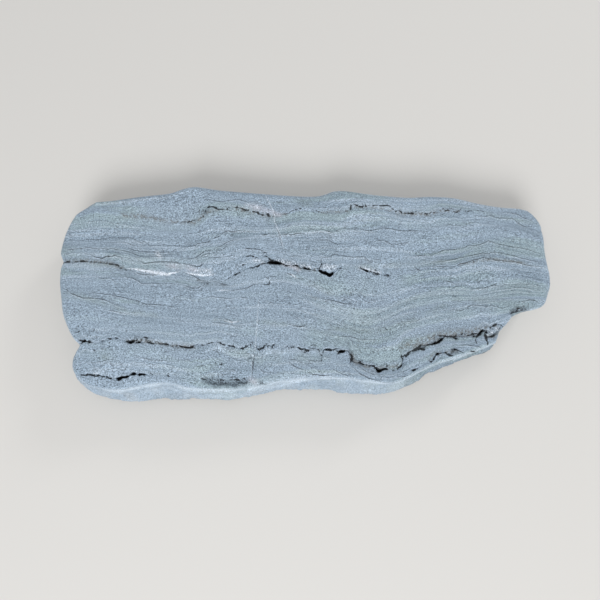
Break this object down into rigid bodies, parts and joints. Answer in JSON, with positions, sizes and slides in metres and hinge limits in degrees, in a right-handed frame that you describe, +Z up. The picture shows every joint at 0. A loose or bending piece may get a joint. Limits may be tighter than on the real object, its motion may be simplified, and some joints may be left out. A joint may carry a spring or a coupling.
{
  "type": "garden stepping stone",
  "caption": "Long irregular natural stone slab with banded, cracked top, worn rounded edges, one sloping long side and a flat underside to lie on the ground.",
  "frame": {"origin": "middle of the box round the stone, at its flat underside", "axes": "+X along the stone's length and its bands, +Y towards the straighter back edge, +Z up out of the tread; the sloping long side faces -Y"},
  "size_m": [1.0652, 0.4712, 0.0959],
  "materials": {
    "schist": "natural cleft blue-grey schist, matt, with fine bands, a white quartz vein, brown ledge lines and dark open cracks"
  },
  "bodies": {
    "root": {"stepping_stone": "schist"}
  },
  "joints": []
}
